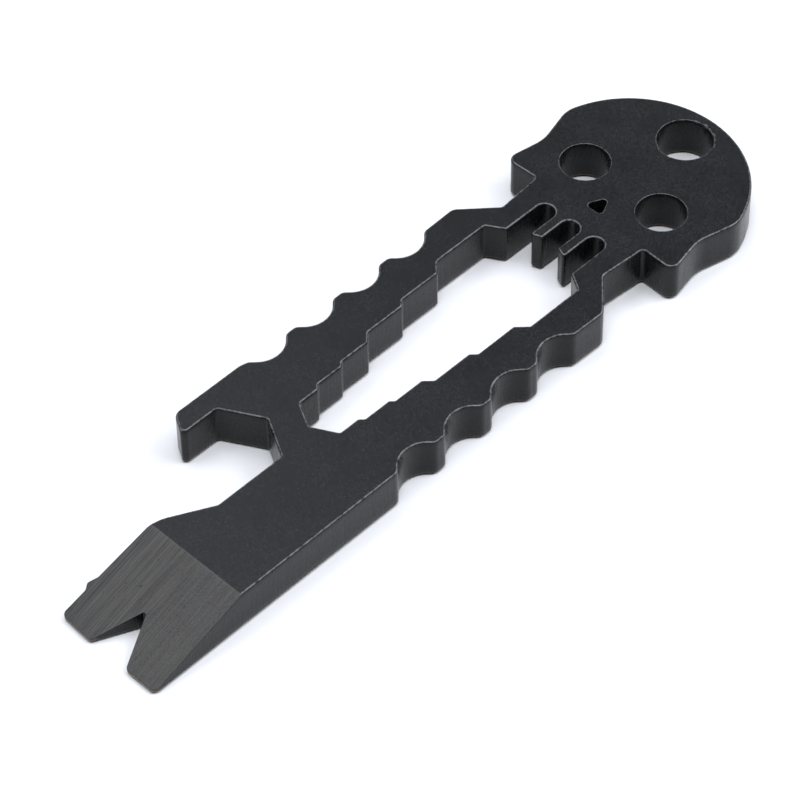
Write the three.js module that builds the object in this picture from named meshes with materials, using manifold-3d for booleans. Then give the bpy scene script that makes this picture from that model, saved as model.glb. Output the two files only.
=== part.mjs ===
// Keychain bottle opener: one flat steel plate with a wrench window, a bottle
// opener hook, a ground pry tip with a nail notch, and a head with a ring hole.
// Millimetres, +X towards the head, +Y towards the opener hook, +Z up.
// The back face lies on Z = 0 and the outline is centred on X = 0.

import * as THREE from 'three';
import { mergeVertices } from 'three/addons/utils/BufferGeometryUtils.js';
import Module from 'manifold-3d';

// Plate
const LENGTH = 77.2;
const THICKNESS = 4.0;
const RIM_BREAK = 0.18;
const CHORD_ERROR = 0.02;

// Head: a round dome, pinched temples and square cheeks
const HEAD_RADIUS = 10.57;
const DOME_CENTRE_X = LENGTH / 2 - HEAD_RADIUS;
const DOME_HALF_ANGLE = THREE.MathUtils.degToRad(69.5);
const DOME_RUN_OUT = 1.25;
const DOME_RUN_OUT_RADIUS = 3.0;
const TEMPLE = { x: 26.4, y: 9.24, r: 4.0 };
const CHEEK = { x: 22.2, y: 10.05, r: 0.9 };

// Holes through the head
const RING_HOLE_RADIUS = 2.55;
const RING_HOLE_X = LENGTH / 2 - 3.55;
const EYE_RADIUS = 2.3;
const EYE = { x: 26.8, y: 4.55 };
const NOSE_BRIDGE_X = 25.0;
const NOSE_FOOT = { x: 22.9, y: 1.0 };
const NOSE_CORNER_RADIUS = 0.35;

// Neck and shoulders between the head and the grip
const NECK_TOP = { x: 22.35, y: 6.42, r: 0.35 };
const NECK_FOOT = { x: 17.65, y: 6.05, r: 0.6 };
const SHOULDER = { x: 14.4, y: 9.05, r: 1.1 };

// Grip: finger scallops on both edges
const GRIP_HALF_WIDTH = 8.95;
const SCALLOP_COUNT = 4;
const SCALLOP_PITCH = 5.65;
const SCALLOP_CHORD = 4.5;
const SCALLOP_RADIUS = 2.45;
const SCALLOP_FLANK = THREE.MathUtils.degToRad(45);
const LAND_RADIUS = 0.8;

// Opener hook on the +Y edge: its mouth is part of a hexagon
const HOOK_BACK_Y = 9.17;
const HOOK_BACK_START_X = -11.6;
const HOOK_NOSE_X = -19.12;
const HOOK_TIP = { x: -20.12, y: 7.4, r: 0.25 };
const HOOK_HEEL_X = -19.75;
const MOUTH_TOP = { x: -16.3, y: 7.0, r: 0.45 };
const MOUTH_BACK = { x: -14.12, y: 3.1, r: 0.3 };
const MOUTH_FLOOR = { x: -16.2, y: -0.7, r: 0.3 };
const MOUTH_LIP = { x: -23.45, y: -0.7, r: 0.8 };

// Pry tip: a bar that is ground down to a thin edge, with a V notch
const TIP_EDGE_X = -LENGTH / 2;
const GRIND_START_X = -28.73;
const TIP_EDGE_THICKNESS = 0.35;
const BAR_SHOULDER = { x: -28.0, y: 1.75, r: 4.5 };
const TIP_LEFT = { x: -38.4, y: 2.3, r: 0.45 };
const TIP_RIGHT_RADIUS = 0.6;
const PRONG_RADIUS = 0.5;
const NOTCH_APEX = { x: -34.07, y: -3.42, r: 0.22 };
const NOTCH_SLOPE = 0.47;
const TAB_STUB = [
  { x: -34.45, y: 2.1, r: 0.5 },
  { x: -35.3, y: 2.52, r: 0.25 },
  { x: -35.85, y: 2.17, r: 0.3 },
];

// Wrench window: each pair of flats, and the X where it starts
const WINDOW_END_X = -12.25;
const WINDOW_END_RADIUS = 0.35;
const JAWS = [
  { flats: 4.76, start: -10.95 },
  { flats: 5.6, start: -8.4 },
  { flats: 6.35, start: -5.2 },
  { flats: 7.94, start: -1.25 },
  { flats: 9.05, start: 3.5 },
  { flats: 11.1, start: 8.9 },
];
const JAW_STEP_RADIUS = 0.3;
const WINDOW_CORNER_X = 14.85;
const WINDOW_LIP_X = 15.85;

// Slots that run from the window into the neck, with fingers between them
const SLOT_WIDTH = 1.86;
const SLOT_PITCH = 2.93;
const SLOT_END_X = 20.7;
const FINGER_TIP_X = 16.87;
const FINGER_SLANT = 0.42;
const FINGER_RADIUS = 0.24;

/** The same corner on the other side of the X axis. */
function mirrored(corner) {
  return { ...corner, y: -corner.y };
}

/** Steps in an arc, so that its chords stay within CHORD_ERROR of it. */
function arcSteps(radius, sweep) {
  const widestStep = 2 * Math.acos(1 - CHORD_ERROR / radius);
  return Math.max(2, Math.ceil(Math.abs(sweep) / widestStep));
}

/** Points on an arc, both ends included. */
function arcPoints(cx, cy, radius, start, end) {
  const steps = arcSteps(radius, end - start);
  return Array.from({ length: steps + 1 }, (_, i) => {
    const angle = start + ((end - start) * i) / steps;
    return new THREE.Vector2(cx + radius * Math.cos(angle), cy + radius * Math.sin(angle));
  });
}

/** The arc that rounds one corner, tangent to both of its edges. */
function filletPoints(before, corner, after) {
  const at = new THREE.Vector2(corner.x, corner.y);
  const toBefore = new THREE.Vector2(before.x, before.y).sub(at).normalize();
  const toAfter = new THREE.Vector2(after.x, after.y).sub(at).normalize();
  const halfAngle = Math.acos(THREE.MathUtils.clamp(toBefore.dot(toAfter), -1, 1)) / 2;
  const bisector = toBefore.clone().add(toAfter).normalize();
  const centre = at.clone().addScaledVector(bisector, corner.r / Math.sin(halfAngle));
  const tangent = corner.r / Math.tan(halfAngle);
  const from = at.clone().addScaledVector(toBefore, tangent).sub(centre).angle();
  const to = at.clone().addScaledVector(toAfter, tangent).sub(centre).angle();
  const sweep = Math.atan2(Math.sin(to - from), Math.cos(to - from));
  return arcPoints(centre.x, centre.y, corner.r, from, from + sweep);
}

/** A closed outline: corners with a radius are rounded, corners without one stay sharp. */
function roundedOutline(corners) {
  return corners.flatMap((corner, i) => {
    const before = corners.at(i - 1);
    const after = corners[(i + 1) % corners.length];
    return corner.r ? filletPoints(before, corner, after) : [new THREE.Vector2(corner.x, corner.y)];
  });
}

/** Corners of one edge's scallops, from the head towards the tip, on the +Y side. */
function scallopCorners() {
  const halfChord = SCALLOP_CHORD / 2;
  const valleyY = GRIP_HALF_WIDTH - halfChord * Math.tan(SCALLOP_FLANK);
  return Array.from({ length: SCALLOP_COUNT }, (_, i) => {
    const x = ((SCALLOP_COUNT - 1) / 2 - i) * SCALLOP_PITCH;
    return [
      { x: x + halfChord, y: GRIP_HALF_WIDTH, r: LAND_RADIUS },
      { x, y: valleyY, r: SCALLOP_RADIUS },
      { x: x - halfChord, y: GRIP_HALF_WIDTH, r: LAND_RADIUS },
    ];
  }).flat();
}

/** From the end of the dome down to the last scallop, on the +Y side. */
function sideCorners() {
  const cos = Math.cos(DOME_HALF_ANGLE);
  const sin = Math.sin(DOME_HALF_ANGLE);
  const runOut = {
    x: DOME_CENTRE_X + HEAD_RADIUS * cos - DOME_RUN_OUT * sin,
    y: HEAD_RADIUS * sin + DOME_RUN_OUT * cos,
    r: DOME_RUN_OUT_RADIUS,
  };
  return [runOut, TEMPLE, CHEEK, NECK_TOP, NECK_FOOT, SHOULDER, ...scallopCorners()];
}

function openerCorners() {
  return [
    { x: HOOK_BACK_START_X, y: HOOK_BACK_Y, r: 1.5 },
    { x: HOOK_NOSE_X, y: HOOK_BACK_Y, r: 1.0 },
    HOOK_TIP,
    { x: HOOK_HEEL_X, y: MOUTH_TOP.y, r: 0.3 },
    MOUTH_TOP,
    MOUTH_BACK,
    MOUTH_FLOOR,
    MOUTH_LIP,
    BAR_SHOULDER,
  ];
}

function tipCorners() {
  const mouthHalf = (NOTCH_APEX.x - TIP_EDGE_X) * NOTCH_SLOPE;
  return [
    ...TAB_STUB,
    TIP_LEFT,
    { x: TIP_EDGE_X, y: NOTCH_APEX.y + mouthHalf, r: PRONG_RADIUS },
    NOTCH_APEX,
    { x: TIP_EDGE_X, y: NOTCH_APEX.y - mouthHalf, r: PRONG_RADIUS },
    { x: TIP_EDGE_X, y: -GRIP_HALF_WIDTH, r: TIP_RIGHT_RADIUS },
  ];
}

function plateOutline() {
  const dome = arcPoints(DOME_CENTRE_X, 0, HEAD_RADIUS, -DOME_HALF_ANGLE, DOME_HALF_ANGLE);
  const side = sideCorners();
  return roundedOutline([
    ...dome,
    ...side,
    ...openerCorners(),
    ...tipCorners(),
    ...side.map(mirrored).reverse(),
  ]);
}

/** Corners of the window from its narrow end to the slots, on the +Y side. */
function jawCorners() {
  const corners = [];
  let half = 0;
  for (const jaw of JAWS) {
    const nextHalf = jaw.flats / 2;
    if (half > 0) {
      corners.push({ x: jaw.start - (nextHalf - half), y: half, r: JAW_STEP_RADIUS });
    }
    corners.push({ x: jaw.start, y: nextHalf, r: JAW_STEP_RADIUS });
    half = nextHalf;
  }
  corners.push({ x: WINDOW_CORNER_X, y: half, r: JAW_STEP_RADIUS });
  corners.push({ x: WINDOW_LIP_X, y: SLOT_PITCH + SLOT_WIDTH / 2, r: JAW_STEP_RADIUS });
  return corners;
}

/** The round end of one slot, from its -Y wall to its +Y wall. */
function slotEnd(y) {
  const radius = SLOT_WIDTH / 2;
  return arcPoints(SLOT_END_X - radius, y, radius, -Math.PI / 2, Math.PI / 2);
}

/** The corners of the finger on the +Y side of the middle slot; its tip slants back inwards. */
function fingerCorners() {
  return [
    { x: FINGER_TIP_X + FINGER_SLANT, y: SLOT_WIDTH / 2, r: FINGER_RADIUS },
    { x: FINGER_TIP_X, y: SLOT_PITCH - SLOT_WIDTH / 2, r: FINGER_RADIUS },
  ];
}

function windowOutline() {
  const jaws = jawCorners();
  const finger = fingerCorners();
  return roundedOutline([
    { x: WINDOW_END_X, y: 0, r: WINDOW_END_RADIUS },
    ...jaws.map(mirrored),
    ...slotEnd(-SLOT_PITCH),
    ...finger.map(mirrored).reverse(),
    ...slotEnd(0),
    ...finger,
    ...slotEnd(SLOT_PITCH),
    ...jaws.reverse(),
  ]);
}

function circleOutline(x, y, radius) {
  return arcPoints(x, y, radius, 0, 2 * Math.PI).slice(0, -1);
}

function noseOutline() {
  return roundedOutline([
    { x: NOSE_BRIDGE_X, y: 0, r: NOSE_CORNER_RADIUS },
    { ...NOSE_FOOT, r: NOSE_CORNER_RADIUS },
    { ...mirrored(NOSE_FOOT), r: NOSE_CORNER_RADIUS },
  ]);
}

/** The plate with every opening cut through it and its rims broken on both faces. */
function plateGeometry() {
  const shape = new THREE.Shape(plateOutline());
  shape.holes = [
    windowOutline(),
    circleOutline(RING_HOLE_X, 0, RING_HOLE_RADIUS),
    circleOutline(EYE.x, EYE.y, EYE_RADIUS),
    circleOutline(EYE.x, -EYE.y, EYE_RADIUS),
    noseOutline(),
  ].map((points) => new THREE.Path(points));
  const geometry = new THREE.ExtrudeGeometry(shape, {
    depth: THICKNESS - 2 * RIM_BREAK,
    bevelEnabled: true,
    bevelThickness: RIM_BREAK,
    bevelSize: RIM_BREAK,
    bevelOffset: -RIM_BREAK,
    bevelSegments: 1,
  });
  return geometry.translate(0, 0, RIM_BREAK);
}

/** The metal that grinding takes off the front face at the pry tip. */
function grindGeometry() {
  const over = 1.0;
  const slope = (THICKNESS - TIP_EDGE_THICKNESS) / (GRIND_START_X - TIP_EDGE_X);
  const section = new THREE.Shape([
    new THREE.Vector2(GRIND_START_X + over, THICKNESS + over * slope),
    new THREE.Vector2(GRIND_START_X + over, THICKNESS + 2 * over),
    new THREE.Vector2(TIP_EDGE_X - over, THICKNESS + 2 * over),
    new THREE.Vector2(TIP_EDGE_X - over, TIP_EDGE_THICKNESS - over * slope),
  ]);
  const width = 2 * (HEAD_RADIUS + over);
  const geometry = new THREE.ExtrudeGeometry(section, { depth: width, bevelEnabled: false });
  return geometry.rotateX(Math.PI / 2).translate(0, width / 2, 0);
}

/** A three.js geometry as a manifold solid. */
function solidFrom(wasm, geometry) {
  const bare = geometry.clone();
  bare.deleteAttribute('normal');
  bare.deleteAttribute('uv');
  const merged = mergeVertices(bare, 1e-5);
  return new wasm.Manifold(new wasm.Mesh({
    numProp: 3,
    vertProperties: new Float32Array(merged.attributes.position.array),
    triVerts: new Uint32Array(merged.index.array),
  }));
}

/** A manifold solid as a three.js geometry. */
function geometryFrom(solid) {
  const mesh = solid.getMesh();
  const geometry = new THREE.BufferGeometry();
  geometry.setAttribute('position', new THREE.BufferAttribute(mesh.vertProperties, 3));
  geometry.setIndex(new THREE.BufferAttribute(mesh.triVerts, 1));
  geometry.computeVertexNormals();
  return geometry;
}

const wasm = await Module();
wasm.setup();

const body = solidFrom(wasm, plateGeometry()).subtract(solidFrom(wasm, grindGeometry()));
const blackCoatedSteel = new THREE.MeshStandardMaterial({
  color: 0x1c1c1e,
  roughness: 0.42,
  metalness: 0.7,
});
const toolBody = new THREE.Mesh(geometryFrom(body), blackCoatedSteel);
toolBody.name = 'tool_body';

const group = new THREE.Group();
group.add(toolBody);

export default group;
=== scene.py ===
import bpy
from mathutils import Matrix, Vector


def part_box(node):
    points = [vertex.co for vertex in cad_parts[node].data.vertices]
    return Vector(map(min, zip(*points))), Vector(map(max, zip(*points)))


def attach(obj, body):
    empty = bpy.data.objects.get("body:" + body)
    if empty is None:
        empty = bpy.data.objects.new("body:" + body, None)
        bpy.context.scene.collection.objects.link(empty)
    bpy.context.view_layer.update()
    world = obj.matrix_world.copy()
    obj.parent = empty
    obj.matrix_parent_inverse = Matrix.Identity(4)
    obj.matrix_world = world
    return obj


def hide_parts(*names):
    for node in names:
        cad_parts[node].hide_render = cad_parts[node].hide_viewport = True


bl_info = {
    "name": "Keychain Bottle Opener",
    "version": (1, 0, 0),
    "blender": (4, 5, 0),
    "location": "3D View > Sidebar > Pocket Tool",
    "description": "Builds a black coated steel pocket tool and its pale studio around the packed frame",
    "category": "Add Mesh",
}

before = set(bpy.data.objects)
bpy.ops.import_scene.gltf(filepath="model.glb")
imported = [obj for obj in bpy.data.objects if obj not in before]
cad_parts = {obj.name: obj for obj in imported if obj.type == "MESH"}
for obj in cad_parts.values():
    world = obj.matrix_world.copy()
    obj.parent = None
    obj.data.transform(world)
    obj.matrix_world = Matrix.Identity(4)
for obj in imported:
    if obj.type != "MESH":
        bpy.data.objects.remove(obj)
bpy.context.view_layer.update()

import math
from collections import namedtuple

import bmesh
import bpy
import numpy as np
from mathutils import Matrix, Vector
from mathutils.geometry import delaunay_2d_cdt

PLATE_LOW, PLATE_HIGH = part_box("tool_body")

# Outlines are in millimetres. Meshes, the floor, the lamps and the camera are in metres.
MM = 0.001
THICKNESS = (PLATE_HIGH.z - PLATE_LOW.z) / MM
TIP_EDGE_X = PLATE_LOW.x / MM
HEAD_END_X = PLATE_HIGH.x / MM

# The floor lies a little below the plate, so that only a thin contact shadow shows
FLOOR_HALF = 0.6
FLOOR_DROP = 0.2 * MM
FLOOR_ROUGHNESS = 0.6

# Camera: azimuth, elevation and roll in degrees, the point that it looks at, how far it stands
# from it, and its sensor and lens in Blender's millimetres
CAMERA_ANGLES = (-134.761, 48.365, -1.015)
CAMERA_TARGET = Vector((-2.40, -0.93, 0.0)) * MM
CAMERA_DISTANCE = 321.22 * MM
CAMERA_SENSOR = 36.0
CAMERA_LENS = 168.84
CAMERA_CLIP = (0.01, 20.0)

LAMP_DISTANCE = 0.8

# Soft boxes round the tool: name, side, azimuth and elevation in degrees, width and depth in
# metres, and brightness as a share of its side's
SOFT_BOXES = (
    ("right_box", "right", -30, 32, 0.28, 0.28, 1.0),
    ("right_low_box", "right", -45, 10, 0.32, 0.32, 0.3),
    ("right_high_box", "right", -60, 52, 0.28, 0.28, 0.65),
    ("right_top_box", "right", -60, 72, 0.28, 0.28, 0.4),
    ("right_back_box", "right", -15, 52, 0.52, 0.28, 0.37),
    ("back_low_box", "back", 30, 32, 0.28, 0.28, 0.25),
    ("back_box", "back", 60, 52, 0.28, 0.28, 0.37),
    ("back_top_box", "back", 60, 72, 0.28, 0.28, 0.95),
    ("top_box", "back", -135, 78, 0.22, 0.22, 4.0),
    ("left_back_box", "left", 90, 52, 0.28, 0.28, 0.5),
    ("left_box", "left", 120, 60, 0.28, 0.48, 0.9),
    ("left_front_box", "left", 150, 52, 0.28, 0.28, 1.3),
    ("tip_box", "left", 180, 10, 0.32, 0.32, 0.36),
    ("rim_box", "left", -172, 66, 0.2, 0.2, 2.0),
    ("front_fill", "left", -135, 20, 0.3, 0.3, 0.1),
)

# Head: a round dome, pinched temples and square cheeks. Corners are x, y, radius.
HEAD_RADIUS = 10.57
DOME_CENTRE_X = HEAD_END_X - HEAD_RADIUS
DOME_HALF_ANGLE = math.radians(69.5)
DOME_RUN_OUT = 1.25
DOME_RUN_OUT_RADIUS = 3.0
TEMPLE = (26.4, 9.24, 4.0)
CHEEK = (22.2, 10.05, 0.9)

# Holes through the head
RING_HOLE_RADIUS = 2.55
RING_HOLE_X = HEAD_END_X - 3.55
EYE_RADIUS = 2.3
EYE = (26.8, 4.55)
NOSE_BRIDGE_X = 25.0
NOSE_FOOT = (22.9, 1.0)
NOSE_CORNER_RADIUS = 0.35

# Neck and shoulders
NECK_TOP = (22.35, 6.42, 0.35)
NECK_FOOT = (17.65, 6.05, 0.6)
SHOULDER = (14.4, 9.05, 1.1)

# Grip: finger scallops on both edges
GRIP_HALF_WIDTH = 8.95
SCALLOP_COUNT = 4
SCALLOP_PITCH = 5.65
SCALLOP_CHORD = 4.5
SCALLOP_RADIUS = 2.45
SCALLOP_FLANK = math.radians(45)
LAND_RADIUS = 0.8

# Opener hook on the +Y edge
HOOK_BACK_Y = 9.17
HOOK = (
    (-11.6, HOOK_BACK_Y, 1.5),
    (-19.12, HOOK_BACK_Y, 1.0),
    (-20.12, 7.4, 0.25),
    (-19.75, 7.0, 0.3),
    (-16.3, 7.0, 0.45),
    (-14.12, 3.1, 0.3),
    (-16.2, -0.7, 0.3),
    (-23.45, -0.7, 0.8),
    (-28.0, 1.75, 4.5),
)

# Pry tip: ground down to a thin edge, with a V notch and the stub of a holding tab
GRIND_START_X = -28.73
TIP_EDGE_THICKNESS = 0.35
TAB_STUB = ((-34.45, 2.1, 0.5), (-35.3, 2.52, 0.25), (-35.85, 2.17, 0.3))
TIP_LEFT = (-38.4, 2.3, 0.45)
TIP_RIGHT_RADIUS = 0.6
PRONG_RADIUS = 0.5
NOTCH_APEX = (-34.07, -3.42, 0.22)
NOTCH_SLOPE = 0.47

# Wrench window: across-flats size of each pair of jaws, and the X where it starts
WINDOW_END = (-12.25, 0.0, 0.35)
JAWS = ((4.76, -10.95), (5.6, -8.4), (6.35, -5.2), (7.94, -1.25), (9.05, 3.5), (11.1, 8.9))
JAW_STEP_RADIUS = 0.3
WINDOW_CORNER_X = 14.85
WINDOW_LIP_X = 15.85

# Slots that run from the window into the neck
SLOT_WIDTH = 1.86
SLOT_PITCH = 2.93
SLOT_END_X = 20.7
FINGER_TIP_X = 16.87
FINGER_SLANT = 0.42
FINGER_RADIUS = 0.24

# Bites out of the ring hole's front rim: angle round the hole, half width (degrees), depth
HOLE_CHIPS = (
    (18.0, 6.0, 0.20),
    (-4.0, 5.0, 0.42),
    (-17.0, 7.0, 0.26),
    (-33.0, 5.0, 0.50),
    (-46.0, 8.0, 0.34),
    (-63.0, 6.0, 0.40),
    (165.0, 9.0, 0.18),
    (188.0, 5.0, 0.12),
)

# How much a bite's depth varies along it, and how far it reaches into the face and down the
# wall for each unit of its depth
RAGGED_SHARE = 0.6
CHIP_SEED = 5
CHIP_INSET = 0.55
CHIP_DROP = 2.2

# Nicks in other front rims: X, Y, half width and depth
EDGE_NICKS = (
    (-20.0, 7.3, 0.35, 0.3),
    (23.1, -9.95, 0.3, 0.15),
    (23.0, 9.3, 0.25, 0.1),
)

# Where a rim ring stands between the wall (0) and the face (1), and how the wall is divided
RIM_STEPS = (0.0, 0.25, 0.5, 0.75, 1.0)
WALL_STEPS = (0.18, 0.36, 0.54, 0.72, 0.88)

# Rims are lighter on their upper part only, partly wear and partly a painted highlight: the share where
# it starts, and how far it runs
WORN_HIGHLIGHT_START = 0.4
WORN_HIGHLIGHT_SPAN = 0.7

# Rim sizes: the small holes' rims as a share of the others, the most that a lower rim takes of
# the thin tip's height, the rim left where the tip is ground, and the flat strip beside each rim
HOLE_RIM_SHARE = 0.35
THIN_RIM_SHARE = 0.3
SHARP_RIM = 0.025
HOLD_WIDTH = 0.03

# Mesh spacing: the loose grid on the faces, and the rows and columns on the ground tip
FACE_SPACING = 1.2
TIP_ROW_SPACING = 0.15
TIP_COLUMN_SPACING = 3 * TIP_ROW_SPACING

# How far an arc may turn between two points, how near two points count as one, and how near a
# point is to the ring hole's edge when it lies on it
LARGEST_TURN = math.radians(12)
SAME_POINT = 1e-6
ON_HOLE = 0.01

# Points that are tested against an outline at one time
BATCH = 500

# What delaunay_2d_cdt gives back: the triangles inside the outlines, without the holes
INSIDE_WITH_HOLES = 2

# The normal's Z where a wall gives way to a face, and where the ground tip's front begins
WALL_SLOPE = (0.15, 0.6)
FRONT_SLOPE = (0.6, 0.8)

# The grinding ridge: how sharply the ground finish starts, and the half width of its painted highlight
# line
RIDGE_BLEND = 0.04
RIDGE_HIGHLIGHT = 0.08

# A painted warm contact shadow fades out between these: above the walls' feet, and behind the tip's thin
# edge
FOOT_CONTACT_SHADOW = (0.3, 0.05)
TIP_CONTACT_SHADOW = (0.7, 0.1)

# A painted shade line runs along the top of the tip's thin edge, between these shares of its height
LIP_SHADE_SHARES = (0.6, 0.85)

# The tip's grinding lines are clearest on its +Y part, and fade to flecks between these
LINED_Y = (-6.0, 2.5)
LEAST_LINED = 0.4

COATING_IOR = 1.3

Arc = namedtuple("Arc", "x y radius start sweep")


# ---------------------------------------------------------------- outlines


def mirrored(corner):
    """The same corner on the other side of the X axis."""
    x, y, radius = corner
    return (x, -y, radius)


def arc_point(arc, share):
    """The point at a share of the way along an arc."""
    angle = arc.start + arc.sweep * share
    return (arc.x + arc.radius * math.cos(angle), arc.y + arc.radius * math.sin(angle))


def fillet(before, corner, after):
    """The arc that rounds one corner, tangent to both of its edges."""
    x, y, radius = corner
    at = Vector((x, y))
    to_before = (Vector(before) - at).normalized()
    to_after = (Vector(after) - at).normalized()
    half_angle = to_before.angle(to_after) / 2
    centre = at + (to_before + to_after).normalized() * radius / math.sin(half_angle)
    tangent = radius / math.tan(half_angle)
    start = at + to_before * tangent - centre
    end = at + to_after * tangent - centre
    start_angle = math.atan2(start.y, start.x)
    turn = math.atan2(end.y, end.x) - start_angle
    sweep = math.atan2(math.sin(turn), math.cos(turn))
    return Arc(centre.x, centre.y, radius, start_angle, sweep)


def rounded(parts):
    """An outline's arcs in order, from its corners and its own arcs. Metal is on the left."""
    arcs = []
    for i, part in enumerate(parts):
        if isinstance(part, Arc):
            arcs.append(part)
            continue
        before = parts[i - 1]
        after = parts[(i + 1) % len(parts)]
        before = arc_point(before, 1) if isinstance(before, Arc) else before[:2]
        after = arc_point(after, 0) if isinstance(after, Arc) else after[:2]
        arcs.append(fillet(before, part, after))
    return arcs


def sampled(arcs, spacing):
    """Points and outward normals along an outline, its straight runs included."""
    points = []
    normals = []
    closed = len(arcs) == 1
    for i, arc in enumerate(arcs):
        side = math.copysign(1, arc.sweep)
        turns = abs(arc.sweep) / LARGEST_TURN
        steps = max(2, math.ceil(max(turns, abs(arc.sweep) * arc.radius / spacing)))
        for k in range(steps if closed else steps + 1):
            angle = arc.start + arc.sweep * k / steps
            points.append(arc_point(arc, k / steps))
            normals.append((side * math.cos(angle), side * math.sin(angle)))
        if closed:
            continue
        start = Vector(points[-1])
        run = Vector(arc_point(arcs[(i + 1) % len(arcs)], 0)) - start
        if run.length < spacing / 2:
            if run.length < SAME_POINT:
                points.pop()
                normals.pop()
            continue
        steps = math.ceil(run.length / spacing)
        for k in range(1, steps):
            points.append(tuple(start + run * k / steps))
            normals.append((run.y / run.length, -run.x / run.length))
    return np.array(points), np.array(normals)


def scallops():
    """Corners of one edge's scallops, from the head towards the tip, on the +Y side."""
    half_chord = SCALLOP_CHORD / 2
    valley_y = GRIP_HALF_WIDTH - half_chord * math.tan(SCALLOP_FLANK)
    corners = []
    for i in range(SCALLOP_COUNT):
        x = ((SCALLOP_COUNT - 1) / 2 - i) * SCALLOP_PITCH
        corners += [
            (x + half_chord, GRIP_HALF_WIDTH, LAND_RADIUS),
            (x, valley_y, SCALLOP_RADIUS),
            (x - half_chord, GRIP_HALF_WIDTH, LAND_RADIUS),
        ]
    return corners


def plate_outline():
    """The plate's outer edge, from the dome round by the +Y side, the hook and the tip."""
    cos, sin = math.cos(DOME_HALF_ANGLE), math.sin(DOME_HALF_ANGLE)
    dome = Arc(DOME_CENTRE_X, 0, HEAD_RADIUS, -DOME_HALF_ANGLE, 2 * DOME_HALF_ANGLE)
    run_out = (
        DOME_CENTRE_X + HEAD_RADIUS * cos - DOME_RUN_OUT * sin,
        HEAD_RADIUS * sin + DOME_RUN_OUT * cos,
        DOME_RUN_OUT_RADIUS,
    )
    side = [run_out, TEMPLE, CHEEK, NECK_TOP, NECK_FOOT, SHOULDER, *scallops()]
    apex_x, apex_y, _ = NOTCH_APEX
    mouth_half = (apex_x - TIP_EDGE_X) * NOTCH_SLOPE
    tip = [
        *TAB_STUB,
        TIP_LEFT,
        (TIP_EDGE_X, apex_y + mouth_half, PRONG_RADIUS),
        NOTCH_APEX,
        (TIP_EDGE_X, apex_y - mouth_half, PRONG_RADIUS),
        (TIP_EDGE_X, -GRIP_HALF_WIDTH, TIP_RIGHT_RADIUS),
    ]
    return rounded([dome, *side, *HOOK, *tip, *(mirrored(c) for c in reversed(side))])


def slot_end(y):
    """The round end of one slot, from its +Y wall to its -Y wall."""
    radius = SLOT_WIDTH / 2
    return Arc(SLOT_END_X - radius, y, radius, math.pi / 2, -math.pi)


def window_outline():
    """The wrench window, with the three slots that run from it into the neck."""
    half = 0
    jaws = []
    for flats, start in JAWS:
        if half:
            jaws.append((start - (flats / 2 - half), half, JAW_STEP_RADIUS))
        half = flats / 2
        jaws.append((start, half, JAW_STEP_RADIUS))
    jaws.append((WINDOW_CORNER_X, half, JAW_STEP_RADIUS))
    jaws.append((WINDOW_LIP_X, SLOT_PITCH + SLOT_WIDTH / 2, JAW_STEP_RADIUS))
    finger = [
        (FINGER_TIP_X, SLOT_PITCH - SLOT_WIDTH / 2, FINGER_RADIUS),
        (FINGER_TIP_X + FINGER_SLANT, SLOT_WIDTH / 2, FINGER_RADIUS),
    ]
    return rounded([
        WINDOW_END,
        *jaws,
        slot_end(SLOT_PITCH),
        *finger,
        slot_end(0),
        *(mirrored(c) for c in reversed(finger)),
        slot_end(-SLOT_PITCH),
        *(mirrored(c) for c in reversed(jaws)),
    ])


def circle(x, y, radius):
    """A round hole's outline."""
    return [Arc(x, y, radius, 0, -2 * math.pi)]


def nose_outline():
    """The small rounded triangle in the head."""
    foot_x, foot_y = NOSE_FOOT
    return rounded([
        (NOSE_BRIDGE_X, 0, NOSE_CORNER_RADIUS),
        (foot_x, -foot_y, NOSE_CORNER_RADIUS),
        (foot_x, foot_y, NOSE_CORNER_RADIUS),
    ])


def inside(points, loops):
    """Which points lie in the metal, by counting the outline edges on their +X side."""
    crossings = np.zeros(len(points), int)
    for loop in loops:
        a, b = loop, np.roll(loop, -1, axis=0)
        for k in range(0, len(points), BATCH):
            px, py = points[k:k + BATCH, :1], points[k:k + BATCH, 1:]
            straddles = (a[:, 1] > py) != (b[:, 1] > py)
            rise = np.where(b[:, 1] == a[:, 1], 1, b[:, 1] - a[:, 1])
            at = a[:, 0] + (py - a[:, 1]) * (b[:, 0] - a[:, 0]) / rise
            crossings[k:k + BATCH] += (straddles & (px < at)).sum(1)
    return crossings % 2 == 1


def clear_of(points, loops, margin):
    """Which points are further than margin from every outline point."""
    far = np.ones(len(points), bool)
    for loop in loops:
        for k in range(0, len(points), BATCH):
            gap = np.linalg.norm(points[k:k + BATCH, None] - loop[None], axis=2).min(1)
            far[k:k + BATCH] &= gap > margin
    return far


# ---------------------------------------------------------------- the plate's mesh


def top_height(x):
    """Height of the front face, which the pry tip's ground plane cuts down."""
    rise = (THICKNESS - TIP_EDGE_THICKNESS) / (GRIND_START_X - TIP_EDGE_X)
    return np.minimum(THICKNESS, TIP_EDGE_THICKNESS + (x - TIP_EDGE_X) * rise)


def chip_depths(points):
    """How deep the ring hole's front rim is bitten at each point of an outline."""
    x, y = points[:, 0] - RING_HOLE_X, points[:, 1]
    on_hole = np.abs(np.hypot(x, y) - RING_HOLE_RADIUS) < ON_HOLE
    angle = np.degrees(np.arctan2(y, x))
    depth = np.zeros(len(points))
    for centre, width, bite in HOLE_CHIPS:
        turn = (angle - centre + 180) % 360 - 180
        depth = np.maximum(depth, bite * np.exp(-(turn / width) ** 4))
    ragged = np.random.default_rng(CHIP_SEED).uniform(1 - RAGGED_SHARE, 1, len(points))
    return depth * ragged * on_hole


def nick_depths(points):
    """How much lower the front rim's foot lies at each point of an outline."""
    depth = np.zeros(len(points))
    for x, y, width, bite in EDGE_NICKS:
        gap = np.hypot(points[:, 0] - x, points[:, 1] - y)
        depth = np.maximum(depth, bite * np.exp(-(gap / width) ** 4))
    return depth


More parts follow.
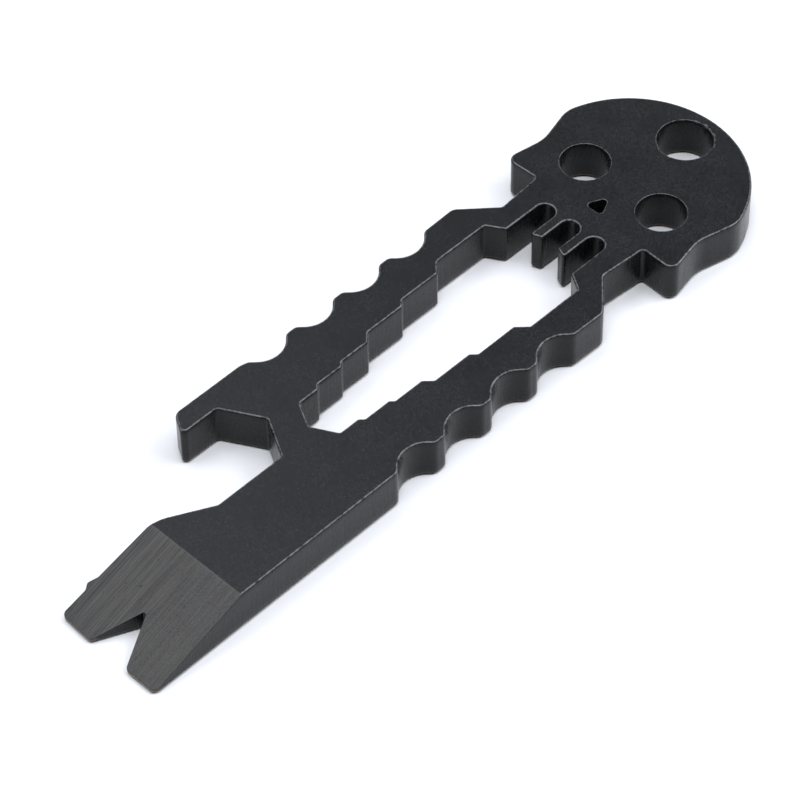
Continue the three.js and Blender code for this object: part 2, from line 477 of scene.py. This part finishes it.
class PlateMesh:
    """Collects the plate's vertices and faces with what each vertex is."""

    def __init__(self, rim_radius):
        self.rim = rim_radius
        self.places = []
        self.shares = {"cut_share": [], "rim_share": [], "grind_share": []}
        self.outward = []
        self.faces = []
        self.flat = []
        self.count = 0

    def add_points(self, xy, z, outward=None, cut=0.0, rim=0.0):
        """Adds one ring or cloud of points and returns their indices."""
        n = len(xy)
        self.places.append(np.column_stack([xy, z]))
        self.outward.append(np.zeros((n, 2)) if outward is None else outward)
        on_grind = (xy[:, 0] < GRIND_START_X) & (z > TIP_EDGE_THICKNESS / 2) & (cut == 0)
        self.shares["cut_share"].append(np.full(n, cut))
        self.shares["rim_share"].append(np.full(n, rim))
        self.shares["grind_share"].append(on_grind.astype(float))
        self.count += n
        return np.arange(self.count - n, self.count)

    def add_wall(self, xy, outward, rim_share):
        """Adds one outline's wall with its rounded rims; returns its top and bottom edge rings."""
        height = top_height(xy[:, 0])
        rim = self.rim * rim_share
        low_rim = np.minimum(rim, THIN_RIM_SHARE * height)
        high_rim = np.clip(rim - (THICKNESS - height), SHARP_RIM, rim)
        chips = chip_depths(xy)
        high_drop = high_rim + nick_depths(xy) + chips * CHIP_DROP
        high_rim = high_rim + chips * CHIP_INSET
        rings = [self.face_ring(xy, outward, low_rim, False)]
        for share in reversed(RIM_STEPS):
            rings.append(self.rim_ring(xy, outward, low_rim, low_rim, share, False))
        for share in WALL_STEPS:
            z = low_rim + (height - high_drop - low_rim) * share
            roughest = math.sin(math.pi * share) ** 0.5
            rings.append(self.add_points(xy, z, outward, cut=roughest))
        for share in RIM_STEPS:
            rings.append(self.rim_ring(xy, outward, high_rim, high_drop, share, True))
        rings.append(self.face_ring(xy, outward, high_rim, True))
        for low, high in zip(rings, rings[1:]):
            self.add_band(low, high)
        return rings[-1], rings[0]

    def rim_ring(self, xy, outward, inset, drop, share, top):
        """One ring of points round a rim, from its wall edge (share 0) to its face edge (1)."""
        angle = share * math.pi / 2
        at = xy - outward * (inset * (1 - math.cos(angle)))[:, None]
        depth = drop * (1 - math.sin(angle))
        z = top_height(at[:, 0]) - depth if top else depth
        # The upper part of each rim carries wear and a painted highlight
        wear_and_highlight = max(0.0, math.sin((share - WORN_HIGHLIGHT_START) * math.pi / WORN_HIGHLIGHT_SPAN))
        return self.add_points(at, z, outward, rim=wear_and_highlight)

    def face_ring(self, xy, outward, radius, top):
        """The ring of points that ends a rim's flat strip on its face."""
        at = xy - outward * (radius + HOLD_WIDTH)[:, None]
        z = top_height(at[:, 0]) if top else np.zeros(len(at))
        return self.add_points(at, z, outward)

    def add_band(self, low, high):
        """Joins two rings with a band of smooth quads."""
        for i in range(len(low)):
            j = (i + 1) % len(low)
            self.faces.append((low[i], low[j], high[j], high[i]))
            self.flat.append(False)

    def add_face(self, rings, top):
        """Fills the space between the outlines' edge rings on one face of the plate."""
        places = np.vstack(self.places)
        loops = [places[ring, :2] for ring in rings]
        inner = self.inner_points(loops, top)
        z = top_height(inner[:, 0]) if top else np.zeros(len(inner))
        known = np.concatenate([*rings, self.add_points(inner, z)])
        xy = np.vstack([*loops, inner])
        ends = np.cumsum([len(ring) for ring in rings])
        borders = [list(range(end - len(ring), end)) for ring, end in zip(rings, ends)]
        points = [Vector(p) for p in xy]
        made = delaunay_2d_cdt(points, [], borders, INSIDE_WITH_HOLES, SAME_POINT)
        _, _, triangles, origins, _, _ = made
        if any(not o for o in origins):
            raise RuntimeError("the plate's outlines cross each other")
        for triangle in triangles:
            corners = [origins[i][0] for i in triangle]
            ids = [int(known[i]) for i in corners]
            self.faces.append(ids if top else ids[::-1])
            middle_x = sum(xy[i, 0] for i in corners) / 3
            self.flat.append(not (top and middle_x < GRIND_START_X))

    def inner_points(self, loops, top):
        """A loose grid over one face, and on the front a fine one from the ridge to the tip."""
        low, high = loops[0].min(0), loops[0].max(0)
        start = GRIND_START_X + FACE_SPACING if top else low[0]
        xs = np.arange(start, high[0], FACE_SPACING)
        ys = np.arange(low[1], high[1], FACE_SPACING)
        grids = [self.kept_grid(xs, ys, loops, FACE_SPACING / 3)]
        if top:
            xs = np.arange(GRIND_START_X, TIP_EDGE_X, -TIP_COLUMN_SPACING)
            ys = np.arange(low[1], high[1], TIP_ROW_SPACING)
            grids.append(self.kept_grid(xs, ys, loops, TIP_ROW_SPACING / 2))
        return np.vstack(grids)

    @staticmethod
    def kept_grid(xs, ys, loops, margin):
        """The points of a grid that lie in the metal and clear of every outline."""
        grid = np.stack(np.meshgrid(xs, ys), -1).reshape(-1, 2)
        return grid[inside(grid, loops) & clear_of(grid, loops, margin)]

    def to_object(self, name):
        """The collected mesh as an object, in metres, with what each vertex is as attributes."""
        mesh = bpy.data.meshes.new(name)
        places = np.vstack(self.places) * MM
        mesh.from_pydata(places.tolist(), [], [list(map(int, f)) for f in self.faces])
        for key, values in self.shares.items():
            layer = mesh.attributes.new(key, "FLOAT", "POINT")
            layer.data.foreach_set("value", np.concatenate(values).astype(np.float32))
        outward = np.vstack(self.outward)
        outward = np.column_stack([outward, np.zeros(len(outward))])
        layer = mesh.attributes.new("outward", "FLOAT_VECTOR", "POINT")
        layer.data.foreach_set("vector", outward.astype(np.float32).ravel())
        mesh.polygons.foreach_set("use_smooth", [not flat for flat in self.flat])
        mesh.update()
        return bpy.data.objects.new(name, mesh)


def snap_ridge(xy):
    """Moves the outline's nearest point to the grinding ridge onto it, on each side."""
    for side in (xy[:, 1] > 0, xy[:, 1] < 0):
        ids = np.flatnonzero(side)
        nearest = ids[np.argmin(np.abs(xy[ids, 0] - GRIND_START_X))]
        xy[nearest, 0] = GRIND_START_X


def check_closed(mesh):
    """Stops the build if the mesh has an open edge."""
    shape = bmesh.new()
    shape.from_mesh(mesh)
    open_edges = sum(1 for e in shape.edges if len(e.link_faces) != 2)
    shape.free()
    if open_edges:
        raise RuntimeError(f"{mesh.name} has {open_edges} open edges")


# ---------------------------------------------------------------- node trees


class Flow:
    """A value in a node tree. Its operators add Math nodes."""

    def __init__(self, graph, socket):
        self.graph = graph
        self.socket = socket

    def math(self, operation, a, b=0.0):
        """The result of one Math node."""
        return self.graph.add("ShaderNodeMath", {"operation": operation}, {0: a, 1: b})

    def __add__(self, other):
        return self.math("ADD", self, other)

    __radd__ = __add__

    def __mul__(self, other):
        return self.math("MULTIPLY", self, other)

    __rmul__ = __mul__

    def __sub__(self, other):
        return self.math("SUBTRACT", self, other)

    def __rsub__(self, other):
        return self.math("SUBTRACT", other, self)

    def __rtruediv__(self, other):
        return self.math("DIVIDE", other, self)

    def __abs__(self):
        return self.math("ABSOLUTE", self)


class Graph:
    """Adds nodes to one tree: settings are set first, then socket values or links."""

    def __init__(self, tree):
        self.tree = tree

    def add(self, kind, settings=None, sockets=None, output=0):
        """Adds one node and returns one of its outputs, if it has any."""
        node = self.tree.nodes.new(kind)
        for name, value in (settings or {}).items():
            setattr(node, name, value)
        for key, value in (sockets or {}).items():
            if isinstance(value, Flow):
                self.tree.links.new(value.socket, node.inputs[key])
            else:
                node.inputs[key].default_value = value
        return Flow(self, node.outputs[output]) if node.outputs else None

    def vector(self, operation, a, b=(0, 0, 0)):
        """The result of one Vector Math node."""
        return self.add("ShaderNodeVectorMath", {"operation": operation}, {0: a, 1: b})

    def scaled(self, a, factor):
        """A vector times one number."""
        settings = {"operation": "SCALE"}
        return self.add("ShaderNodeVectorMath", settings, {0: a, "Scale": factor})

    def noise(self, place, stretch, detail=2.0, rough=0.5, seed=0.0):
        """Noise at a place in millimetres; stretch is how many cells it has to a millimetre."""
        at = self.vector("MULTIPLY", place, stretch)
        sockets = {"Vector": at, "W": seed, "Scale": 1.0, "Detail": detail, "Roughness": rough}
        return self.add("ShaderNodeTexNoise", {"noise_dimensions": "4D"}, sockets)

    def between(self, value, low, high):
        """0 below low, 1 above high, and smooth between them."""
        settings = {"interpolation_type": "SMOOTHSTEP"}
        return self.add("ShaderNodeMapRange", settings, {"Value": value, 1: low, 2: high})

    def axis(self, vector, index):
        """One of a vector's parts: X at index 0, Y at 1 and Z at 2."""
        return self.add("ShaderNodeSeparateXYZ", {}, {0: vector}, index)

    def attribute(self, name):
        """One of the shares that the plate's vertices carry, read by a material."""
        return self.add("ShaderNodeAttribute", {"attribute_name": name}, output=2)

    def named(self, name, data_type="FLOAT"):
        """What the plate's vertices carry under a name, read by geometry nodes."""
        return self.add("GeometryNodeInputNamedAttribute", {"data_type": data_type}, {0: name})

    def mix_colour(self, share, a, b):
        """Colour a where the share is 0 and b where it is 1."""
        return self.add("ShaderNodeMix", {"data_type": "RGBA"}, {0: share, 6: a, 7: b}, output=2)


def marks_tree(material):
    """Geometry nodes that cut fine upright marks into walls and grinding lines into the tip."""
    tree = bpy.data.node_groups.new("machining_marks", "GeometryNodeTree")
    interface = tree.interface
    interface.new_socket("Geometry", in_out="INPUT", socket_type="NodeSocketGeometry")
    for name in ("Cut Depth", "Cut Pitch", "Grind Depth", "Grind Pitch", "Seed"):
        interface.new_socket(name, in_out="INPUT", socket_type="NodeSocketFloat")
    interface.new_socket("Geometry", in_out="OUTPUT", socket_type="NodeSocketGeometry")
    g = Graph(tree)
    group_in = tree.nodes.new("NodeGroupInput")
    value = {s.name: Flow(g, s) for s in group_in.outputs if s.name}
    place = g.scaled(g.add("GeometryNodeInputPosition"), 1 / MM)

    upright = g.vector("MULTIPLY", place, (1, 1, 0.04))
    cut_place = g.scaled(upright, 1 / value["Cut Pitch"])
    coarse = g.noise(cut_place, (0.35, 0.35, 0.35), 1.0, 0.5, value["Seed"])
    fine = g.noise(cut_place, (1, 1, 1), 1.0, 0.6, value["Seed"])
    cut = (coarse * 0.6 + fine * 0.4 - 0.5) * 2.0 * value["Cut Depth"] * g.named("cut_share")
    cut_offset = g.scaled(g.named("outward", "FLOAT_VECTOR"), cut)

    lengthwise = g.vector("MULTIPLY", place, (0.03, 1, 0.03))
    grind_place = g.scaled(lengthwise, 1 / value["Grind Pitch"])
    lines = g.noise(grind_place, (1, 1, 1), 2.0, 0.6, value["Seed"])
    grind = (lines - 0.5) * 2.0 * value["Grind Depth"] * g.named("grind_share")
    grind_offset = g.scaled(g.add("ShaderNodeCombineXYZ", {}, {2: 1.0}), grind)

    offset = g.vector("ADD", cut_offset, grind_offset)
    sockets = {"Geometry": value["Geometry"], "Offset": offset}
    moved = g.add("GeometryNodeSetPosition", {}, sockets)
    whole = g.add("GeometryNodeRealizeInstances", {}, {"Geometry": moved})
    dressed = g.add("GeometryNodeSetMaterial", {}, {"Geometry": whole, "Material": material})
    g.add("NodeGroupOutput", {}, {0: dressed})
    return tree


def run_tree(obj, tree, values):
    """Runs a geometry node tree on obj and returns its result as a plain mesh object."""
    modifier = obj.modifiers.new("marks", "NODES")
    modifier.node_group = tree
    for item in tree.interface.items_tree:
        if item.in_out == "INPUT" and item.name in values:
            modifier[item.identifier] = values[item.name]
    bpy.context.scene.collection.objects.link(obj)
    evaluated = obj.evaluated_get(bpy.context.evaluated_depsgraph_get())
    mesh = bpy.data.meshes.new_from_object(evaluated)
    name = obj.name
    bpy.data.objects.remove(obj)
    made = bpy.data.objects.new(name, mesh)
    bpy.context.scene.collection.objects.link(made)
    return made


# ---------------------------------------------------------------- finishes


def shade(colour, factor=1.0):
    """A colour setting as a socket's value, darkened or lightened by a factor."""
    return (*(c * factor for c in colour), 1)


def coating(look):
    """Satin black coating on steel plate: faces, cut walls, rims and the ground tip."""
    material = bpy.data.materials.new("black_coated_steel")
    material.use_nodes = True
    material.node_tree.nodes.clear()
    g = Graph(material.node_tree)
    place = g.scaled(g.add("ShaderNodeTexCoord", output=3), 1 / MM)
    x, y, z = (g.axis(place, i) for i in range(3))
    upward = g.axis(g.add("ShaderNodeNewGeometry", output=1), 2)

    # Where each finish lies
    wall = 1.0 - g.between(abs(upward), *WALL_SLOPE)
    front = g.between(upward, *FRONT_SLOPE)
    ground = g.between(x, GRIND_START_X, GRIND_START_X - RIDGE_BLEND) * front
    ridge = g.between(abs(x - GRIND_START_X), RIDGE_HIGHLIGHT, 0.0) * front
    # Where the painted warm contact shadow lies: the walls' feet and the tip's thin edge
    foot = g.between(z, *FOOT_CONTACT_SHADOW) * wall
    tip_edge = g.between(x, *(TIP_EDGE_X + reach for reach in TIP_CONTACT_SHADOW)) * wall
    lip_shade = g.between(z, *(TIP_EDGE_THICKNESS * share for share in LIP_SHADE_SHARES)) * tip_edge
    lined = g.between(y, *LINED_Y) * (1 - LEAST_LINED) + LEAST_LINED
    rim = g.attribute("rim_share")

    # Patterns: the coating's clouds, mottle and grain, the walls' streaks, and the tip's lines,
    # flecks, scratches and pits
    clouds = g.noise(place, (0.3, 0.3, 0.3), 3.0, 0.55)
    mottle = g.noise(place, (3.2, 3.2, 3.2), 3.0, 0.6)
    grain = g.noise(place, (7.0, 7.0, 7.0), 2.0, 0.6)
    streaks = g.noise(place, (5.0, 5.0, 0.3), 3.0, 0.65)
    lines = g.noise(place, (0.15, 6.5, 0.15), 4.0, 0.75)
    flecks = g.noise(place, (6.0, 11.0, 6.0), 4.0, 0.8)
    scratches = g.between(g.noise(place, (0.1, 9.0, 0.1), 2.0, 0.6, 3.0), 0.56, 0.7)
    pits = g.between(g.noise(place, (2.2, 2.2, 2.2), 2.0, 0.6, 7.0), 0.69, 0.74)

    # Colour of each finish, and then one over another
    face_dark = shade(look.face_colour)
    warm_contact_shadow = shade(look.contact_shadow_colour)
    ground_bright = shade(look.ground_colour, 1.5)
    face_share = g.between(mottle * 0.35 + grain * 0.5 + clouds * 0.15, 0.39, 0.63)
    face = g.mix_colour(face_share, face_dark, shade(look.cloud_colour))
    cut = g.mix_colour(g.between(streaks, 0.35, 0.65), face, shade(look.wall_colour))
    tip_share = g.between(lines * lined + flecks * (1.0 - lined), 0.36, 0.60)
    tip = g.mix_colour(tip_share, shade(look.ground_colour, 0.3), shade(look.ground_colour))
    tip = g.mix_colour(scratches * lined * 0.6, tip, ground_bright)
    tip = g.mix_colour(pits * 0.8, tip, face_dark)
    colour = g.mix_colour(wall, face, cut)
    # Painted warm contact shadow on the walls' feet and along the tip's thin edge
    colour = g.mix_colour(foot * 0.4, colour, warm_contact_shadow)
    colour = g.mix_colour(tip_edge, colour, warm_contact_shadow)
    # Painted shade line along the top of the tip's thin edge
    colour = g.mix_colour(lip_shade * 0.8, colour, face_dark)
    colour = g.mix_colour(ground, colour, tip)
    # Painted highlight along the grinding ridge
    colour = g.mix_colour(ridge * 0.5, colour, ground_bright)
    # Rims lighter on their upper part: partly wear, partly a painted highlight
    wear_and_highlight = rim * g.between(mottle, 0.3, 0.6) * (1.0 - ground)
    colour = g.mix_colour(wear_and_highlight, colour, shade(look.worn_rim_highlight_colour))

    # Gloss, and the fine relief that a bump gives
    rough = look.roughness + (clouds - 0.5) * 0.08 + (mottle - 0.5) * 0.1
    rough = rough + (streaks - 0.5) * 0.3 * wall + ground * 0.12 - rim * 0.06
    height = (grain * 2.2 + mottle * 0.8) * (1.0 - ground) + streaks * 3.0 * wall
    height = height + (lines * lined * 6.0 + flecks * 6.0 - pits * 2.0 + scratches) * ground
    relief = {"Strength": 1.0, "Distance": look.bump_depth, "Height": height}
    bump = g.add("ShaderNodeBump", {}, relief)
    finish = {"Base Color": colour, "Roughness": rough, "Normal": bump, "IOR": COATING_IOR}
    shader = g.add("ShaderNodeBsdfPrincipled", {}, finish)
    g.add("ShaderNodeOutputMaterial", {}, {"Surface": shader})
    return material


def floor_finish(look):
    """Plain pale finish of the studio's floor."""
    material = bpy.data.materials.new("studio_floor")
    material.use_nodes = True
    shader = material.node_tree.nodes["Principled BSDF"]
    shader.inputs["Base Color"].default_value = (*look.floor_colour, 1)
    shader.inputs["Roughness"].default_value = FLOOR_ROUGHNESS
    return material


# ---------------------------------------------------------------- settings


class PlateSettings(bpy.types.PropertyGroup):
    rim_radius: bpy.props.FloatProperty(
        name="Rim Radius",
        description="Radius that rounds every rim of the plate",
        default=0.17 * MM,
        min=0.02 * MM,
        max=0.19 * MM,
        precision=6,
        unit="LENGTH",
    )
    spacing: bpy.props.FloatProperty(
        name="Wall Spacing",
        description="Distance between mesh columns round the walls",
        default=0.12 * MM,
        min=0.05 * MM,
        precision=6,
        unit="LENGTH",
    )
    cut_depth: bpy.props.FloatProperty(
        name="Cut Mark Depth",
        description="Depth of the upright cutting marks on the walls",
        default=0.014 * MM,
        precision=6,
        unit="LENGTH",
    )
    cut_pitch: bpy.props.FloatProperty(
        name="Cut Mark Pitch",
        description="Distance between cutting marks",
        default=0.28 * MM,
        precision=6,
        unit="LENGTH",
    )
    grind_depth: bpy.props.FloatProperty(
        name="Grinding Line Depth",
        description="Depth of the lengthwise lines on the ground tip",
        default=0.006 * MM,
        precision=6,
        unit="LENGTH",
    )
    grind_pitch: bpy.props.FloatProperty(
        name="Grinding Line Pitch",
        description="Distance between grinding lines",
        default=0.3 * MM,
        precision=6,
        unit="LENGTH",
    )
    seed: bpy.props.IntProperty(
        name="Seed", description="Picks another set of marks", default=3
    )


class CoatingSettings(bpy.types.PropertyGroup):
    face_colour: bpy.props.FloatVectorProperty(
        name="Face Colour",
        description="Coating on the flat faces",
        subtype="COLOR",
        size=3,
        default=(0.0003, 0.0004, 0.0005),
    )
    cloud_colour: bpy.props.FloatVectorProperty(
        name="Cloud Colour",
        description="The coating's faint lighter clouds",
        subtype="COLOR",
        size=3,
        default=(0.0075, 0.0081, 0.0094),
    )
    wall_colour: bpy.props.FloatVectorProperty(
        name="Wall Colour",
        description="Lighter streaks on the cut walls",
        subtype="COLOR",
        size=3,
        default=(0.0050, 0.0052, 0.0058),
    )
    ground_colour: bpy.props.FloatVectorProperty(
        name="Ground Colour",
        description="Thin coating over the ground pry tip",
        subtype="COLOR",
        size=3,
        default=(0.041, 0.0395, 0.037),
    )
    # Painted warm contact shadow, used along the tip's thin edge and the walls' feet
    contact_shadow_colour: bpy.props.FloatVectorProperty(
        name="Tip Edge Colour",
        description="Warm worn strip along the tip's thin edge",
        subtype="COLOR",
        size=3,
        default=(0.15, 0.10, 0.065),
    )
    # Worn steel on the rims' upper parts, which also serves as a painted highlight
    worn_rim_highlight_colour: bpy.props.FloatVectorProperty(
        name="Rim Colour",
        description="Steel that shows through the coating on worn rims",
        subtype="COLOR",
        size=3,
        default=(0.09, 0.09, 0.093),
    )
    roughness: bpy.props.FloatProperty(
        name="Roughness",
        description="Gloss of the coating, from a mirror at 0 to matt at 1",
        default=0.26,
        min=0.0,
        max=1.0,
        subtype="FACTOR",
    )
    bump_depth: bpy.props.FloatProperty(
        name="Grain Depth",
        description="Depth of the coating's fine grain",
        default=0.006 * MM,
        precision=6,
        unit="LENGTH",
    )


class StudioSettings(bpy.types.PropertyGroup):
    floor_colour: bpy.props.FloatVectorProperty(
        name="Floor Colour",
        description="The pale floor",
        subtype="COLOR",
        size=3,
        default=(0.52, 0.52, 0.52),
    )
    lamp_colour: bpy.props.FloatVectorProperty(
        name="Lamp Colour",
        description="Slightly cool tint of every soft box",
        subtype="COLOR",
        size=3,
        default=(0.955, 0.985, 1.05),
    )
    room_strength: bpy.props.FloatProperty(
        name="Room Strength",
        description="Dim light from all round, apart from the white backdrop that the camera sees",
        default=0.1,
        min=0.0,
    )
    left_brightness: bpy.props.FloatProperty(
        name="Left Brightness",
        description="Radiance of the soft boxes on the hook's side, beyond the tip and in front",
        default=3.9,
        min=0.0,
    )
    right_brightness: bpy.props.FloatProperty(
        name="Right Brightness",
        description="Radiance of the soft boxes on the plain edge's side",
        default=12.8,
        min=0.0,
    )
    back_brightness: bpy.props.FloatProperty(
        name="Back Brightness",
        description="Radiance of the soft boxes beyond the head and of the one overhead",
        default=6.0,
        min=0.0,
    )


# ---------------------------------------------------------------- operators


class POCKETTOOL_OT_body(bpy.types.Operator):
    """Build the one-piece coated plate that stands for the frame's tool_body"""

    bl_idname = "pockettool.body"
    bl_label = "Build Tool Body"

    def execute(self, context):
        plate = context.scene.pocket_plate
        spacing = plate.spacing / MM
        shape = PlateMesh(plate.rim_radius / MM)
        outlines = [
            (plate_outline(), 1.0),
            (window_outline(), 1.0),
            (circle(RING_HOLE_X, 0, RING_HOLE_RADIUS), HOLE_RIM_SHARE),
            (circle(EYE[0], EYE[1], EYE_RADIUS), HOLE_RIM_SHARE),
            (circle(EYE[0], -EYE[1], EYE_RADIUS), HOLE_RIM_SHARE),
            (nose_outline(), HOLE_RIM_SHARE),
        ]
        tops, bottoms = [], []
        for outline, rim_share in outlines:
            xy, outward = sampled(outline, spacing)
            if not tops:
                snap_ridge(xy)
            top, bottom = shape.add_wall(xy, outward, rim_share)
            tops.append(top)
            bottoms.append(bottom)
        shape.add_face(tops, True)
        shape.add_face(bottoms, False)
        blank = shape.to_object("coated_plate")
        check_closed(blank.data)
        material = coating(context.scene.pocket_coating)
        tree = marks_tree(material)
        values = {
            "Cut Depth": plate.cut_depth,
            "Cut Pitch": plate.cut_pitch / MM,
            "Grind Depth": plate.grind_depth,
            "Grind Pitch": plate.grind_pitch / MM,
            "Seed": float(plate.seed),
        }
        body = run_tree(blank, tree, values)
        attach(body, "root")
        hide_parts("tool_body")
        return {"FINISHED"}


class POCKETTOOL_OT_stage(bpy.types.Operator):
    """Build the pale floor, the soft lights and the camera"""

    bl_idname = "pockettool.stage"
    bl_label = "Build Studio"

    def execute(self, context):
        scene = context.scene
        look = scene.pocket_studio
        build_floor(look)
        build_room(scene, look)
        build_lights(scene, look)
        build_camera(scene)
        return {"FINISHED"}


def build_floor(look):
    """The plain pale floor."""
    half = FLOOR_HALF
    flat = ((-half, -half), (half, -half), (half, half), (-half, half))
    corners = [(x, y, -FLOOR_DROP) for x, y in flat]
    mesh = bpy.data.meshes.new("floor")
    mesh.from_pydata(corners, [], [(0, 1, 2, 3)])
    mesh.materials.append(floor_finish(look))
    floor = bpy.data.objects.new("floor", mesh)
    bpy.context.scene.collection.objects.link(floor)


def build_room(scene, look):
    """Dim light from all round, and a white backdrop that only the camera sees."""
    world = bpy.data.worlds.new("room")
    world.use_nodes = True
    world.node_tree.nodes.clear()
    g = Graph(world.node_tree)
    white = (1, 1, 1, 1)
    backdrop = g.add("ShaderNodeBackground", {}, {"Color": white, "Strength": 1.0})
    room = g.add("ShaderNodeBackground", {}, {"Color": white, "Strength": look.room_strength})
    seen = g.add("ShaderNodeLightPath", output=0)
    both = g.add("ShaderNodeMixShader", {}, {0: seen, 1: room, 2: backdrop})
    g.add("ShaderNodeOutputWorld", {}, {"Surface": both})
    scene.world = world
    scene.view_settings.view_transform = "Standard"


def direction(azimuth, elevation):
    """The unit vector towards an azimuth and an elevation, in degrees."""
    azimuth, elevation = math.radians(azimuth), math.radians(elevation)
    return Vector((
        math.cos(elevation) * math.cos(azimuth),
        math.cos(elevation) * math.sin(azimuth),
        math.sin(elevation),
    ))


def add_soft_box(scene, name, out, width, depth, brightness, colour):
    """A rectangular lamp that faces the tool from a direction. Brightness is its radiance."""
    light = bpy.data.lights.new(name, "AREA")
    light.shape = "RECTANGLE"
    light.size = width
    light.size_y = depth
    light.energy = math.pi * width * depth * brightness
    light.color = colour
    lamp = bpy.data.objects.new(name, light)
    turn = out.to_track_quat("Z", "Y").to_matrix().to_4x4()
    lamp.matrix_world = Matrix.Translation(out * LAMP_DISTANCE) @ turn
    scene.collection.objects.link(lamp)


def build_lights(scene, look):
    """All the soft boxes, each at its share of its side's brightness."""
    sides = {
        "left": look.left_brightness,
        "right": look.right_brightness,
        "back": look.back_brightness,
    }
    for name, side, azimuth, elevation, width, depth, share in SOFT_BOXES:
        out = direction(azimuth, elevation)
        add_soft_box(scene, name, out, width, depth, share * sides[side], look.lamp_colour)


def build_camera(scene):
    """A long lens on the tip's side of the tool, that looks down at about 48 degrees."""
    azimuth, elevation, roll = CAMERA_ANGLES
    roll = math.radians(roll)
    back = direction(azimuth, elevation)
    level = Vector((0, 0, 1)).cross(back).normalized()
    up = back.cross(level)
    right = level * math.cos(roll) + up * math.sin(roll)
    up = up * math.cos(roll) - level * math.sin(roll)
    data = bpy.data.cameras.new("camera")
    data.sensor_width = CAMERA_SENSOR
    data.lens = CAMERA_LENS
    data.clip_start, data.clip_end = CAMERA_CLIP
    camera = bpy.data.objects.new("camera", data)
    turn = Matrix((right, up, back)).transposed().to_4x4()
    camera.matrix_world = Matrix.Translation(CAMERA_TARGET + back * CAMERA_DISTANCE) @ turn
    scene.collection.objects.link(camera)
    bpy.context.scene.camera = camera


class POCKETTOOL_PT_panel(bpy.types.Panel):
    """Lists the settings and the two build buttons"""

    bl_idname = "POCKETTOOL_PT_panel"
    bl_label = "Pocket Tool"
    bl_space_type = "VIEW_3D"
    bl_region_type = "UI"
    bl_category = "Pocket Tool"

    def draw(self, context):
        scene = context.scene
        for group in (scene.pocket_plate, scene.pocket_coating, scene.pocket_studio):
            box = self.layout.box()
            for name in group.__annotations__:
                box.prop(group, name)
        self.layout.operator(POCKETTOOL_OT_body.bl_idname)
        self.layout.operator(POCKETTOOL_OT_stage.bl_idname)


CLASSES = (
    PlateSettings,
    CoatingSettings,
    StudioSettings,
    POCKETTOOL_OT_body,
    POCKETTOOL_OT_stage,
    POCKETTOOL_PT_panel,
)


def register():
    """Adds the classes, and one group of settings to the scene for each kind."""
    for cls in CLASSES:
        bpy.utils.register_class(cls)
    bpy.types.Scene.pocket_plate = bpy.props.PointerProperty(type=PlateSettings)
    bpy.types.Scene.pocket_coating = bpy.props.PointerProperty(type=CoatingSettings)
    bpy.types.Scene.pocket_studio = bpy.props.PointerProperty(type=StudioSettings)


def unregister():
    """Takes away what register added."""
    del bpy.types.Scene.pocket_studio
    del bpy.types.Scene.pocket_coating
    del bpy.types.Scene.pocket_plate
    for cls in reversed(CLASSES):
        bpy.utils.unregister_class(cls)


def main():
    """Builds the stage and the tool."""
    register()
    bpy.ops.pockettool.stage()
    bpy.ops.pockettool.body()


if __name__ == "__main__":
    main()
